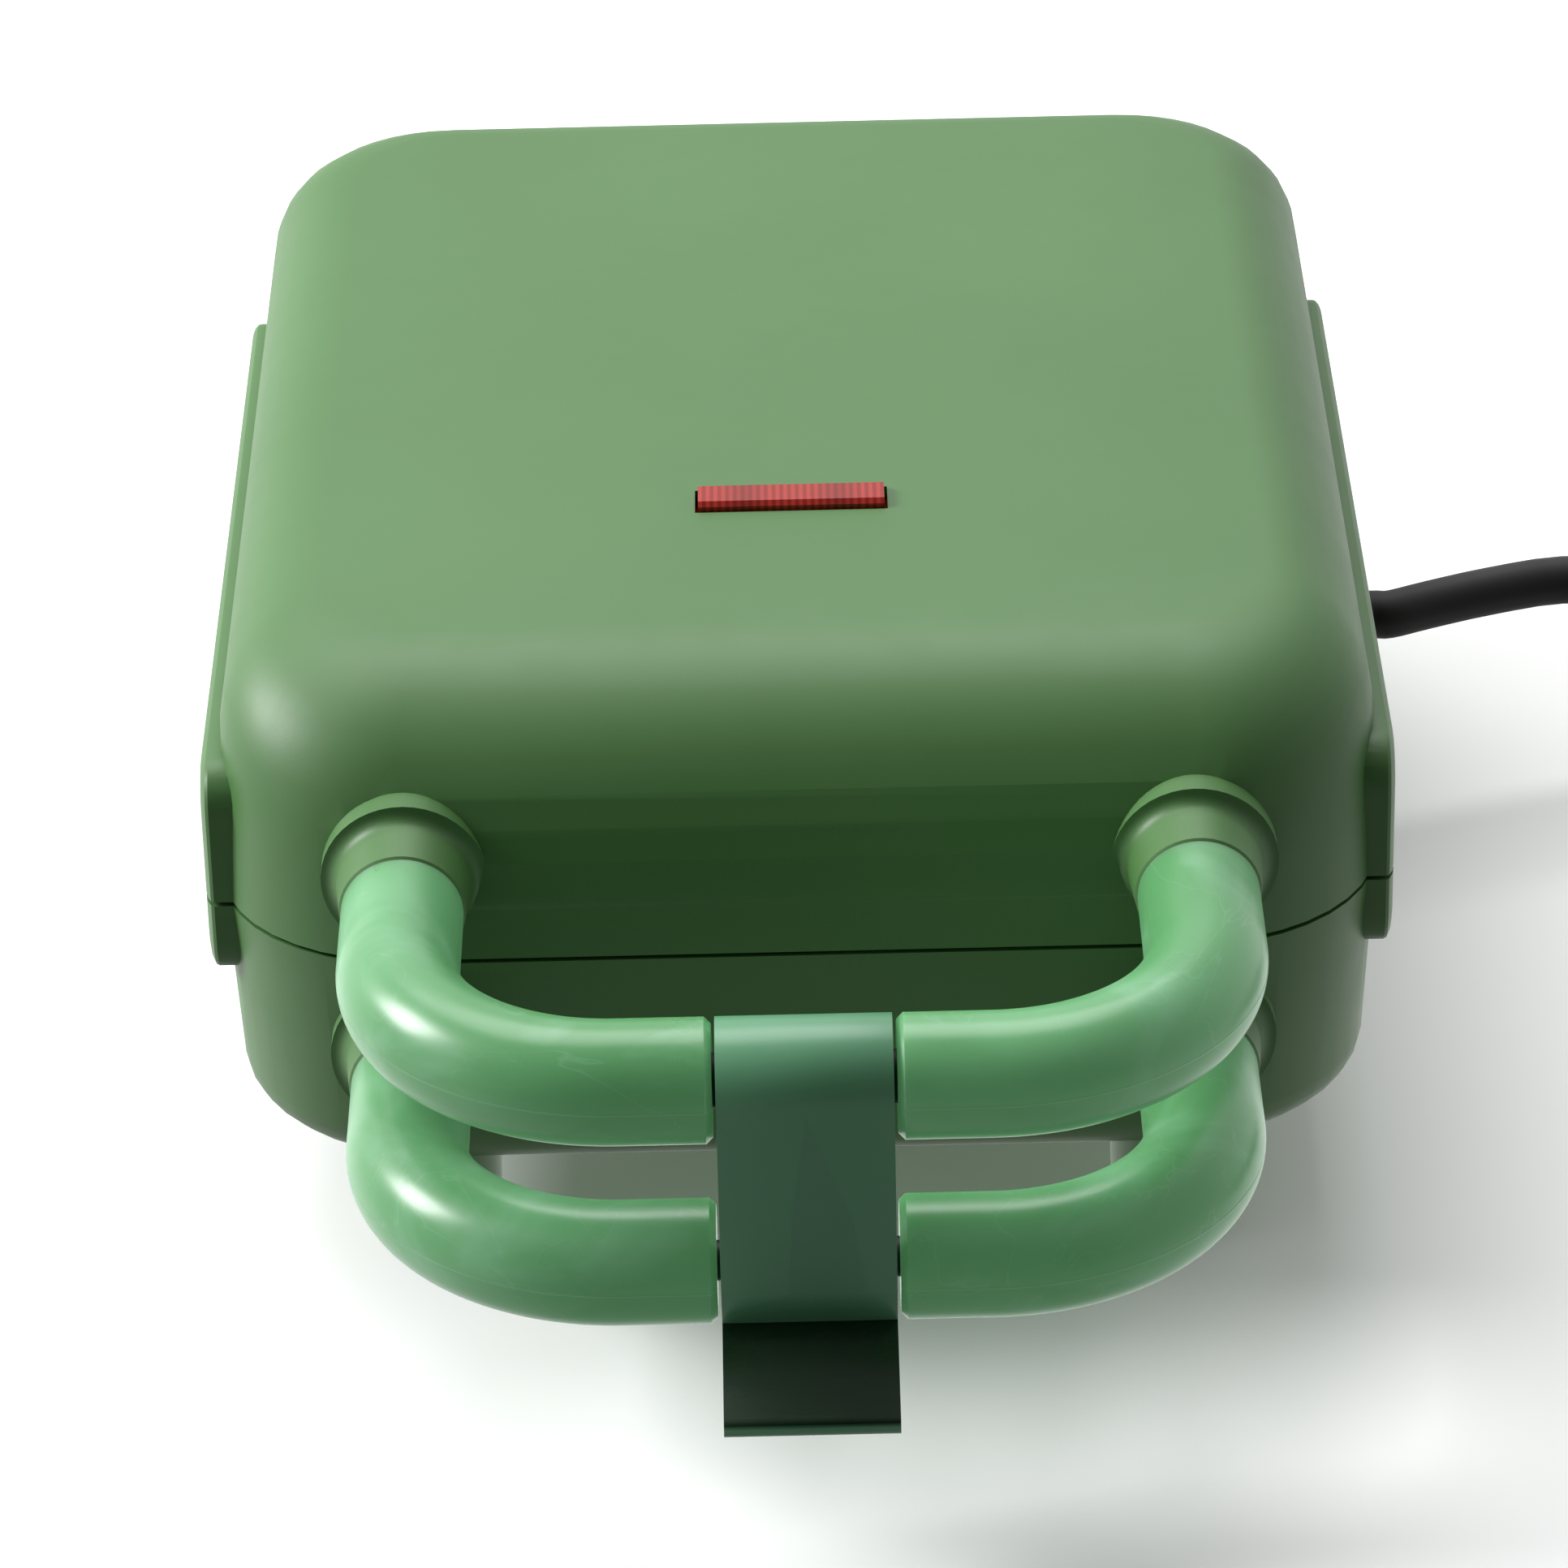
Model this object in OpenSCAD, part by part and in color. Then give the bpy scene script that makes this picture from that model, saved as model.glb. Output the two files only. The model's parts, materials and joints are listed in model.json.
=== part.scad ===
// Electric pie maker: two hinged housings with cast plates, tubular handles and a swing latch.
// Millimetres, +Z up, the four feet stand on z = 0 and the hinge is at the back (+Y).

/* [Housings] */
// Width of both housings at the parting line
body_w = 180; // [172:1:200]
// Depth of both housings at the parting line
body_d = 228; // [220:1:248]
// Height of the upper housing above the parting line
lid_h = 41; // [38:0.5:50]
// Height of the lower housing below the parting line
bowl_h = 41; // [38:0.5:50]
// Open gap between the two rims
rim_gap = 0.7; // [0.5:0.1:1.2]
// Radius of the corners seen from above
corner_r = 30; // [24:1:36]
// Wall thickness of both housings
wall = 2.4; // [1.8:0.1:3]
// Slope of the upper walls, degrees
lid_draft = 1.8; // [0.5:0.1:3]
// Slope of the lower walls, degrees
bowl_draft = 4.5; // [2:0.5:6]
// Radius of the front top edge
lid_front_r = 30; // [20:1:34]
// Radius of the side top edges
lid_side_r = 15; // [8:1:20]
// Radius of the back top edge
lid_back_r = 11; // [8:1:18]
// Radius round the underside
bowl_edge_r = 9; // [6:0.5:12]

/* [Side panels] */
// How far a panel stands out from the wall
panel_t = 2.2; // [1.2:0.1:3]
// Start of the panels behind the front wall
panel_y0 = 19; // [14:1:30]
// End of the panels in front of the back wall
panel_back = 42; // [30:1:60]
// Height of the panels above the parting line
panel_up = 22; // [16:1:26]
// Height of the panels below the parting line
panel_down = 14; // [10:1:18]
// Corner radius of the panels
panel_r = 7; // [4:0.5:9]

/* [Feet] */
// Height of the feet under the lower housing
foot_h = 19; // [16:0.5:24]
// Radius of a foot
foot_r = 10.8; // [9:0.2:13]
// Distance of the feet from the middle
foot_x = 59; // [50:1:62]
// Distance of the feet from the front and back walls
foot_y = 18; // [16:1:26]
// Radius of the rubber pads
pad_r = 6; // [4:0.5:7]
// How far the pads stand out of the feet
pad_out = 0.8; // [0.5:0.1:1.2]

/* [Handles] */
// Diameter of the handle tubes
grip_d = 18.5; // [17:0.5:21]
// Distance of the tubes from the middle
grip_x = 60; // [56:1:64]
// Distance of the grip bars from the front wall
grip_reach = 59; // [54:1:70]
// Bend radius of the tubes
grip_bend_r = 32.7; // [26:0.5:36]
// Height of the upper grip above the parting line
grip_up = 14; // [13:0.5:17]
// Depth of the lower grip below the parting line
grip_down = 17; // [14:0.5:18]
// How far the collars stand out from the front wall
collar_out = 8.8; // [6:0.2:14]
// How much wider a collar is at the wall than the tube
collar_flare = 1; // [0.5:0.1:2]
// Diameter of the tube spigots in the collars
spigot_d = 13; // [11:0.5:15]
// Length of the tube spigots in the collars
spigot_l = 8; // [5:0.5:12]
// Space between the two inner tube ends
grip_gap = 26.8; // [24:0.2:32]
// Length of bar held in each tube
bar_hold = 16; // [10:1:22]
// Diameter of the upper bar that carries the latch
latch_bar_d = 8; // [6:0.5:9]
// Diameter of the lower bar under which the latch closes
keeper_bar_d = 6; // [5:0.5:6.5]

/* [Latch] */
// Width of the latch strap
latch_w = 25.7; // [22:0.1:30]
// Thickness of the latch strap
latch_t = 3.4; // [2.8:0.1:4.2]
// Angle of the curl under the lower bar
curl_angle = 66; // [50:1:70]
// Length of the finger tail
tail_l = 18; // [14:0.5:24]
// Downward slope of the finger tail
tail_slope = 22; // [10:1:35]

/* [Plates] */
// Distance of the plates from the front and back walls
plate_in = 9; // [8:0.5:14]
// Distance of the plates from the side walls
plate_side_in = 7; // [6:0.5:12]
// Thickness of the plate flange
plate_t = 3; // [2.4:0.1:4]
// Radius of a pie cavity at its rim
pie_r = 34.5; // [28:0.5:35]
// Radius of a pie cavity at its floor
pie_floor_r = 28.5; // [22:0.5:30]
// Depth of the lower pie cavities
pie_depth = 23; // [16:0.5:24]
// Depth of the upper pie cavities
top_depth = 8; // [6:0.5:10]
// Sideways spacing of the pie cavities
pie_dx = 78; // [77:0.5:84]
// Front to back spacing of the pie cavities
pie_dy = 88; // [78:1:100]
// Wall of a pie cup
cup_t = 2.5; // [2:0.1:3.5]
// Height of the crimping rings on the upper plate
crimp_h = 1.1; // [0.6:0.1:1.4]
// Width of the crimping rings
crimp_w = 1.4; // [1:0.1:1.8]
// Clearance of the crimping rings in their grooves
crimp_fit = 0.5; // [0.3:0.1:0.8]

/* [Heaters] */
// Diameter of the heater tubes
heater_d = 6.5; // [5.5:0.1:8]
// Half spacing of the heater legs
heater_x = 30; // [24:1:36]
// Thickness of the reflector sheets
sheet_t = 0.8; // [0.5:0.1:1.2]
// Height of the reflector rims
reflector_rim = 5; // [3:0.5:8]

/* [Pilot light] */
// Length of the lens
lens_l = 29.5; // [24:0.5:36]
// Width of the lens
lens_w = 6.7; // [5:0.1:9]
// How far the lens stands out of the lid
lens_out = 1.4; // [0.8:0.1:2.5]
// Distance of the lens from the front wall
lens_y = 72; // [50:1:110]
// Gap round the lens
lens_gap = 0.5; // [0.3:0.1:0.8]
// Number of ribs under the lens
lens_ribs = 24; // [12:1:30]

/* [Hinge] */
// Distance of the hinge axis behind the back wall
hinge_back = 8; // [7.5:0.5:12]
// Radius of the hinge knuckles
knuckle_r = 5; // [4.5:0.1:5.6]
// Diameter of the hinge pins
pin_d = 4; // [3:0.5:5]
// Distance of the hinges from the middle
hinge_x = 55; // [45:1:62]
// Length of a middle knuckle
knuckle_in = 14; // [10:1:20]
// Length of an outer knuckle
knuckle_out = 8; // [6:1:12]
// Gap between knuckles
knuckle_gap = 0.4; // [0.3:0.1:0.8]

/* [Mains cord] */
// Diameter of the cord
cord_d = 8.3; // [7.5:0.1:9]
// Height of the cord outlet below the parting line
cord_drop = 22; // [20:0.5:25]
// Distance of the cord outlet behind the front wall
cord_y = 147; // [120:1:160]
// Length of the strain relief
gland_l = 20; // [20:1:30]
// Length of the strain relief outside the wall
gland_out = 8.5; // [6:0.5:12]
// Middle radius of the outermost turn of the coiled cord
coil_r = 54; // [50:1:60]
// Space between neighbouring turns and layers of the coil
coil_gap = 0.6; // [0.5:0.05:1]
// Length of the plug body
plug_l = 42; // [36:1:50]
// Half thickness of the plug at its face
plug_r = 12.8; // [11:0.1:13]

/* [Hidden] */

$fn = 64;
fit = 0.04;
seat = 0.1;
grip_r = grip_d / 2;
part_z = foot_h + bowl_h;
top_z = part_z + lid_h;
rim_up = part_z + rim_gap / 2;
rim_down = part_z - rim_gap / 2;
upper_grip_z = part_z + grip_up;
lower_grip_z = part_z - grip_down;
tail_start = [grip_r * cos(180 + curl_angle * 0.8), grip_r * sin(180 + curl_angle * 0.8)];
tail_tip_y = tail_start[0] - tail_l * cos(tail_slope) - latch_t / 2;
front_reach = grip_reach - tail_tip_y;
back_reach = hinge_back + knuckle_r;
front_y = (front_reach - body_d - back_reach) / 2;

// Colours as on the object
sage = [0.43, 0.57, 0.42];
jade = [0.38, 0.62, 0.48];
deep_teal = [0.16, 0.33, 0.24];
alloy = [0.72, 0.72, 0.70];
dark_coat = [0.20, 0.20, 0.21];
steel = [0.62, 0.63, 0.65];
rubber = [0.08, 0.08, 0.08];
red_lens = [0.85, 0.18, 0.12];

// Everything is drawn from the front wall backwards and then centred on its own length
module placed() {
    translate([0, front_y, 0]) children();
}

// How far a rounded edge of radius r draws in at depth h below its flat face
function draw_in(r, h) = h >= r ? 0 : r - sqrt(max(0, r * r - (r - h) * (r - h)));

function arc(cx, cy, r, a0, n) = [for (i = [0 : n]) [cx + r * cos(a0 + 90 * i / n), cy + r * sin(a0 + 90 * i / n)]];

// Rounded rectangle seen from above, anticlockwise
function outline(hx, y0, y1, r, n) = concat(
    arc(hx - r, y1 - r, r, 0, n),
    arc(r - hx, y1 - r, r, 90, n),
    arc(r - hx, y0 + r, r, 180, n),
    arc(hx - r, y0 + r, r, 270, n));

// Closed skin over k rings of m points each, the rings anticlockwise about the way they follow
module skin(points, m, k) {
    sides = [for (j = [0 : k - 2]) for (i = [0 : m - 1]) let (a = j * m + i, b = j * m + (i + 1) % m)
             each [[a, a + m, b + m], [a, b + m, b]]];
    floor_face = [for (i = [0 : m - 1]) i];
    roof_face = [for (i = [m - 1 : -1 : 0]) (k - 1) * m + i];
    polyhedron(points = points, faces = concat([floor_face], sides, [roof_face]), convexity = 8);
}

// Solid through a stack of outlines, one height for each
module loft(rings, heights)
    skin([for (j = [0 : len(rings) - 1]) for (p = rings[j]) [p[0], p[1], heights[j]]], len(rings[0]), len(rings));

// Heights at which the rounded edges are cut, finest near the flat face
function edge_steps(r, n) = [for (i = [n : -1 : 0]) r * (1 - cos(90 * i / n))];

// Outline of the upper housing at depth h below its top, drawn in by t all round
function lid_outline(h, t, n) =
    let (slope = (lid_h - h) * tan(lid_draft),
         soft = draw_in(lid_front_r - t, h - t) * 0.4)
    outline(body_w / 2 - slope - t - draw_in(lid_side_r - t, h - t),
            slope + t + draw_in(lid_front_r - t, h - t),
            body_d - slope - t - draw_in(lid_back_r - t, h - t),
            corner_r - t - soft, n);

module lid_form(t, n, steps, bottom) {
    depths = concat([top_z - bottom], [for (h = edge_steps(lid_front_r - t, steps)) h + t]);
    loft([for (h = depths) lid_outline(h, t, n)], [for (h = depths) top_z - h]);
}

// Outline of the lower housing at height h above its underside
function bowl_outline(h, t, n) =
    let (slope = (bowl_h - h) * tan(bowl_draft),
         side_slope = slope * 0.6,
         in = draw_in(bowl_edge_r - t, h - t))
    outline(body_w / 2 - side_slope - t - in, slope + t + in, body_d - slope - t - in,
            corner_r - t - in * 0.5, n);

module bowl_form(t, n, steps, top) {
    lifts = concat([for (i = [0 : steps]) t + (bowl_edge_r - t) * (1 - cos(90 * i / steps))], [top - foot_h]);
    loft([for (h = lifts) bowl_outline(h, t, n)], [for (h = lifts) foot_h + h]);
}

// Raised side panel from below to above the parting line, on the right side
module panel_form() {
    mid = part_z + (panel_up - panel_down) / 2;
    half = (panel_up + panel_down) / 2;
    out = body_w / 2 + panel_t;
    levels = [body_w / 2 - 4, out - 1.4, out - 0.9, out - 0.3, out];
    shrink = [0, 0, 0.12, 0.7, 1.4];
    rings = [for (s = shrink) outline(half - s, panel_y0 + s * 2.6, body_d - panel_back - s, panel_r - s * 0.5, 5)];
    translate([0, 0, mid]) rotate([0, 90, 0]) loft(rings, levels);
}

module panels(low, high) {
    for (side = [0, 1]) mirror([side, 0, 0]) intersection() {
        panel_form();
        translate([body_w / 4, 0, low]) cube([body_w, body_d, high - low]);
    }
}

// Round collar on the front wall, drawn along -Y from the wall, flush with the tube at its face
module collar(x, z) {
    r = grip_r + collar_flare;
    sweep_r = 2.5;
    translate([x, 0, z]) rotate([90, 0, 0]) rotate_extrude() polygon([
        [0, -9], [r + sweep_r, -9], [r + sweep_r, -1],
        for (a = [0 : 15 : 90]) [r + sweep_r * (1 - sin(a)), sweep_r * (1 - cos(a)) - 1],
        [grip_r + 0.35, collar_out - 0.3], [grip_r + 0.05, collar_out], [0, collar_out]]);
}

socket_end = spigot_l - collar_out;
seat_y = 6.5;

// Solid behind the front wall that the handle screws pull against
module screw_seats(z) {
    for (x = [-grip_x, grip_x]) translate([x, seat_y, z]) rotate([90, 0, 0]) cylinder(r = 6, h = 20);
}

module collar_bores(z) {
    for (x = [-grip_x, grip_x]) {
        translate([x, socket_end, z]) rotate([90, 0, 0]) cylinder(d = spigot_d + 2 * fit, h = spigot_l + 1);
        translate([x, 14, z]) rotate([90, 0, 0]) cylinder(d = 4.4, h = 20);
    }
}

// Screw boss standing on a floor or hanging from a roof
boss_r = 5;
screw_d = 4;
head_d = 7.6;
head_t = 2.4;
boss_places = [[0, plate_in + 13], [0, body_d - plate_in - 13],
               [body_w / 2 - 17, body_d / 2], [17 - body_w / 2, body_d / 2]];
under_plate = part_z - rim_gap / 2 - plate_t;
over_plate = part_z + rim_gap / 2 + plate_t;
stub_l = 5;

// Hinge knuckles, each a drum on an arm that runs into the back wall
module knuckle(x, l, arm_z0, arm_z1) {
    translate([x - l / 2, body_d + hinge_back, part_z]) rotate([0, 90, 0]) cylinder(r = knuckle_r, h = l);
    translate([x - l / 2, body_d - wall - 0.6, arm_z0]) cube([l, hinge_back + wall + 0.6, arm_z1 - arm_z0]);
}

module hinge_bore(x, l) {
    translate([x - l / 2 - 1, body_d + hinge_back, part_z]) rotate([0, 90, 0]) cylinder(d = pin_d + 2 * fit, h = l + 2);
}

outer_shift = knuckle_in / 2 + knuckle_gap + knuckle_out / 2;
hinge_l = knuckle_in + 2 * knuckle_gap + 2 * knuckle_out;

// Underside window, closed by the base cover
cover_w = 84;
cover_d = 100;
cover_t = 2;
cover_lap = 5;
cover_fit = 0.3;
vent_w = 3.2;
vent_l = 26;
vent_step = 8;
vent_rows = 7;
cover_post_r = 3.6;
cover_screws = [for (x = [-1, 1]) for (y = [-1, 1]) [x * (cover_w / 2 - 5), y * (cover_d / 2 - 5)]];

module cover_outline(grow) {
    translate([-cover_w / 2 - grow, body_d / 2 - cover_d / 2 - grow])
        square([cover_w + 2 * grow, cover_d + 2 * grow]);
}

cord_z = part_z - cord_drop;
gland_wall_x = body_w / 2 - cord_drop * tan(bowl_draft) * 0.6;
gland_neck_r = 6;
gland_flange_r = 7.6;

module lower_housing() color(sage) placed() difference() {
    union() {
        difference() {
            union() {
                bowl_form(0, 10, 6, rim_down);
                panels(part_z - panel_down - 1, rim_down);
                for (x = [-grip_x, grip_x]) collar(x, lower_grip_z);
                for (x = [-foot_x, foot_x]) for (y = [foot_y, body_d - foot_y])
                    translate([x, y, 0]) foot_form();
            }
            difference() {
                bowl_form(wall, 5, 4, part_z + 1);
                screw_seats(lower_grip_z);
            }
        }
        for (p = boss_places)
            translate([p[0], p[1], foot_h + 0.5]) cylinder(r = boss_r, h = under_plate - stub_l - foot_h - 0.5);
        // Posts that the base cover screws bite into
        for (p = cover_screws)
            translate([p[0], body_d / 2 + p[1], foot_h + cover_t + 0.2])
                cylinder(r = cover_post_r, h = cover_post_top - foot_h - cover_t - 0.2);
        // Frame that stiffens the thin ledge round the window
        translate([0, 0, foot_h + cover_t + 0.2]) linear_extrude(wall) cover_outline(3);
        for (side = [-1, 1])
            for (s = [-1, 1])
                knuckle(side * hinge_x + s * outer_shift, knuckle_out, part_z - knuckle_r, rim_down - 0.3);
        // Thick pad round the cord outlet
        translate([body_w / 2 - 8, cord_y, cord_z]) rotate([0, 90, 0]) cylinder(r = gland_flange_r + 2, h = 5.5);
    }
    collar_bores(lower_grip_z);
    for (p = boss_places) {
        translate([p[0], p[1], 0]) cylinder(d = screw_d + 0.3, h = part_z);
        translate([p[0], p[1], foot_h - 1]) cylinder(d = head_d + 0.6, h = head_t + 3);
    }
    translate([0, 0, foot_h - 1]) linear_extrude(1 + cover_t + 0.2) cover_outline(cover_fit);
    translate([0, 0, foot_h]) linear_extrude(cover_t + wall + 1) cover_outline(-cover_lap * 2);
    for (p = cover_screws) translate([p[0], body_d / 2 + p[1], foot_h])
        cylinder(d = 2.6, h = cover_post_top - foot_h + 1);
    for (x = [-foot_x, foot_x]) for (y = [foot_y, body_d - foot_y])
        translate([x, y, 0]) cylinder(r = pad_r + 0.1, h = pad_out + 1.6);
    for (side = [-1, 1]) hinge_bore(side * hinge_x, hinge_l);
    translate([body_w / 2 - 12, cord_y, cord_z]) rotate([0, 90, 0]) cylinder(r = gland_neck_r + fit, h = 20);
    translate([gland_wall_x, cord_y, cord_z]) rotate([0, 90, 0]) cylinder(r = gland_flange_r + 0.1, h = 20);
}

// Moulded foot with a rounded lower edge
module foot_form() {
    round_r = 4.5;
    z0 = pad_out;
    rotate_extrude() polygon([
        [0, z0], [foot_r - round_r, z0],
        for (a = [15 : 15 : 90]) [foot_r - round_r + round_r * sin(a), z0 + round_r * (1 - cos(a))],
        [foot_r + 0.4, foot_h + 3.4], [0, foot_h + 3.4]]);
}

module base_cover() color(dark_coat) placed() difference() {
    translate([0, 0, foot_h + 0.2 - seat]) linear_extrude(cover_t + seat) cover_outline(0);
    for (i = [0 : vent_rows - 1]) for (x = [-1, 1])
        translate([x * (vent_l / 2 + 3) - vent_l / 2, body_d / 2 + (i - (vent_rows - 1) / 2) * vent_step - vent_w / 2, 0])
            cube([vent_l, vent_w, part_z]);
    for (p = cover_screws) translate([p[0], body_d / 2 + p[1], 0]) cylinder(d = 3.2, h = part_z);
}

// Pan head screw, head face at the origin and shank along +Z
module screw(d, l, hd, ht) {
    rotate_extrude() polygon([[0, -ht], [hd / 2 - 0.7, -ht], [hd / 2, -ht + 0.7], [hd / 2, 0],
                              [d / 2, 0], [d / 2, l - 0.6], [d / 2 - 0.6, l], [0, l]]);
}

module base_cover_screws() color(steel) placed()
    for (p = cover_screws) translate([p[0], body_d / 2 + p[1], foot_h + 0.2 - seat - 0.02]) screw(2.5, cover_post_top - foot_h - 1, 5, 1.4);

module foot_pads() color(rubber) placed()
    for (x = [-foot_x, foot_x]) for (y = [foot_y, body_d - foot_y])
        translate([x, y, 0]) cylinder(r = pad_r, h = pad_out + 1.6);

pie_places = [for (x = [-1, 1]) for (y = [-1, 1]) [x * pie_dx / 2, body_d / 2 + y * pie_dy / 2]];
plate_r = corner_r - 4;

module plate_flange(z0) {
    translate([0, 0, z0]) linear_extrude(plate_t)
        polygon(outline(body_w / 2 - plate_side_in, plate_in, body_d - plate_in, plate_r, 8));
}

// Half section of a cup: rim radius, floor radius, depth, lower corner radius and height over the rim
function cup_section(r_rim, r_floor, depth, round_r, over) = [
    [0, -depth],
    [r_floor - round_r, -depth],
    for (a = [15 : 15 : 75]) [r_floor - round_r + round_r * sin(a), -depth + round_r * (1 - cos(a))],
    [r_floor + (r_rim - r_floor) * round_r / depth, -depth + round_r],
    [r_rim, 0],
    [r_rim, over],
    [0, over]];

// Radius of the ring at the top of each cup, which fills its hole in the flange
cup_rim = pie_r + cup_t + 1.2;

module lower_plate() color(dark_coat) placed() difference() {
    union() {
        plate_flange(under_plate);
        for (p = boss_places) translate([p[0], p[1], under_plate - stub_l]) cylinder(r = boss_r - 0.6, h = stub_l + 1);
    }
    for (p = pie_places) translate([p[0], p[1], under_plate - 1]) cylinder(r = cup_rim + fit / 2, h = plate_t + 2);
    for (p = boss_places) translate([p[0], p[1], under_plate - stub_l - 1]) cylinder(d = screw_d + 0.1, h = stub_l + 2.5);
}

// Cups of the lower plate, each with a crimping groove round its mouth
module lower_pie_cups() color(dark_coat) placed() for (p = pie_places) translate([p[0], p[1], rim_down]) difference() {
    union() {
        translate([0, 0, -plate_t]) cylinder(r = cup_rim, h = plate_t);
        translate([0, 0, -plate_t]) rotate_extrude()
            polygon(cup_section(pie_r + cup_t, pie_floor_r + cup_t, pie_depth + cup_t - plate_t, 5, 1));
    }
    rotate_extrude() polygon(cup_section(pie_r, pie_floor_r, pie_depth, 4, 1));
    crimp_groove();
}

module crimp_groove() {
    translate([0, 0, -crimp_h - crimp_fit + rim_gap]) difference() {
        cylinder(r = pie_r + 1 + crimp_w + crimp_fit, h = 4);
        translate([0, 0, -1]) cylinder(r = pie_r + 1 - crimp_fit, h = 6);
    }
}

module lower_plate_screws() color(steel) placed()
    for (p = boss_places) translate([p[0], p[1], foot_h + head_t + 2]) screw(screw_d, under_plate - foot_h - head_t - 1.4, head_d, head_t);

heater_pin_d = heater_d * 0.55;

// Heater tube: two legs along Y, joined at the front by a half ring, with cold pins at the back
module heater(z, y_back) {
    y_turn = body_d / 2 - pie_dy / 2;
    translate([0, y_turn, z]) mirror([0, 1, 0]) rotate_extrude(angle = 180) translate([heater_x, 0]) circle(d = heater_d, $fn = 32);
    for (x = [-heater_x, heater_x]) {
        translate([x, y_back, z]) rotate([90, 0, 0]) cylinder(d = heater_d, h = y_back - y_turn);
        translate([x, y_back + 12, z]) rotate([90, 0, 0]) cylinder(d = heater_pin_d, h = 13);
    }
}

heater_back = body_d - plate_in - 26;
lower_heater_z = rim_down - pie_depth - cup_t - heater_d / 2 - 0.1;
upper_heater_z = rim_up + top_depth + cup_t + heater_d / 2 + 0.1;

module lower_heater() color(steel) placed() heater(lower_heater_z, heater_back);

// Sheet tray with a turned rim
module tray(z, lip) {
    hx = body_w / 2 - plate_side_in - 9;
    y0 = plate_in + 9;
    y1 = heater_back + 1;
    up = lip > 0 ? 0 : lip;
    translate([0, 0, z + up]) difference() {
        linear_extrude(abs(lip) + sheet_t) polygon(outline(hx, y0, y1, 18, 6));
        translate([0, 0, lip > 0 ? sheet_t : -1]) linear_extrude(abs(lip) + 1)
            polygon(outline(hx - sheet_t, y0 + sheet_t, y1 - sheet_t, 18 - sheet_t, 6));
    }
}

lower_tray_z = lower_heater_z - heater_d / 2 - 0.1 - sheet_t;
upper_tray_z = upper_heater_z + heater_d / 2 + 0.1;
cover_post_top = lower_tray_z - 0.4;

// Holes in the rim of a reflector for the heater's cold pins
module pin_holes(z) {
    for (x = [-heater_x, heater_x])
        translate([x, heater_back + 4, z]) rotate([90, 0, 0]) cylinder(d = heater_pin_d + 0.8, h = 7);
}

module lower_reflector() color(alloy) placed() difference() {
    tray(lower_tray_z, reflector_rim);
    for (p = boss_places) translate([p[0], p[1], 0]) cylinder(r = boss_r + 0.4, h = part_z);
    pin_holes(lower_heater_z);
}

module upper_reflector() color(alloy) placed() difference() {
    tray(upper_tray_z, -reflector_rim);
    for (p = boss_places) translate([p[0], p[1], part_z]) cylinder(r = boss_r + 0.4, h = lid_h);
    pin_holes(upper_heater_z);
    // Window for the thermostat
    translate([-16, thermo_y - 16, part_z]) cube([32, 32, lid_h]);
}

thermo_y = body_d / 2;

module thermal_fuse() color(steel) placed() {
    translate([0, body_d / 2 + 8, under_plate - 4.1]) rotate([90, 0, 0]) cylinder(d = 4, h = 16);
    translate([-7, body_d / 2 - 3, under_plate - 6.9]) cube([14, 6, 0.8]);
    translate([-7, body_d / 2 - 3, under_plate - 6.9]) cube([0.8, 6, 6.8]);
    translate([6.2, body_d / 2 - 3, under_plate - 6.9]) cube([0.8, 6, 6.8]);
}

block_h = lower_heater_z - heater_pin_d / 2 - 0.6 - foot_h - wall;

// Three way screw terminal on the floor, under the heater's cold pins
module terminal_block() color([0.85, 0.83, 0.76]) placed() difference() {
    translate([22, heater_back + 6, foot_h + wall]) cube([22, 14, block_h]);
    for (i = [0 : 2]) {
        translate([26 + i * 7, heater_back + 13, foot_h + wall + block_h / 2]) cylinder(d = 4, h = 10);
        translate([26 + i * 7, body_d, foot_h + wall + block_h / 2]) rotate([90, 0, 0]) cylinder(d = 3, h = 60);
    }
}

// One bent handle tube, from its socket to its inner end, on the right side
module handle_tube(z, bar_d) {
    turn_y = grip_bend_r - grip_reach;
    difference() {
        union() {
            translate([grip_x, socket_end, z]) rotate([90, 0, 0]) cylinder(d = spigot_d, h = spigot_l + 1);
            translate([grip_x, -collar_out, z]) rotate([90, 0, 0]) cylinder(d = grip_d, h = -collar_out - turn_y);
            translate([grip_x - grip_bend_r, turn_y, z]) rotate([0, 0, -90]) rotate_extrude(angle = 90)
                translate([grip_bend_r, 0]) circle(d = grip_d);
            translate([grip_gap / 2 + 1, -grip_reach, z]) rotate([0, 90, 0]) cylinder(d = grip_d, h = grip_x - grip_bend_r - grip_gap / 2 - 1);
            translate([grip_gap / 2, -grip_reach, z]) rotate([0, 90, 0]) cylinder(d1 = grip_d - 2, d2 = grip_d, h = 1);
        }
        translate([grip_gap / 2 - 1, -grip_reach, z]) rotate([0, 90, 0]) cylinder(d = bar_d + 2 * fit, h = bar_hold + 1);
        translate([grip_x, socket_end + 1, z]) rotate([90, 0, 0]) cylinder(d = 3.4, h = 14);
    }
}

module lower_handle_left() color(jade) placed() mirror([1, 0, 0]) handle_tube(lower_grip_z, keeper_bar_d);

module lower_handle_right() color(jade) placed() handle_tube(lower_grip_z, keeper_bar_d);

module upper_handle_left() color(jade) placed() mirror([1, 0, 0]) handle_tube(upper_grip_z, latch_bar_d);

module upper_handle_right() color(jade) placed() handle_tube(upper_grip_z, latch_bar_d);

module handle_screws(z, y_head) {
    for (x = [-grip_x, grip_x]) translate([x, y_head, z]) rotate([90, 0, 0]) screw(3.2, 17, 6.4, 2);
}

module lower_handle_screws() color(steel) placed() handle_screws(lower_grip_z, seat_y + 0.02);

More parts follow.
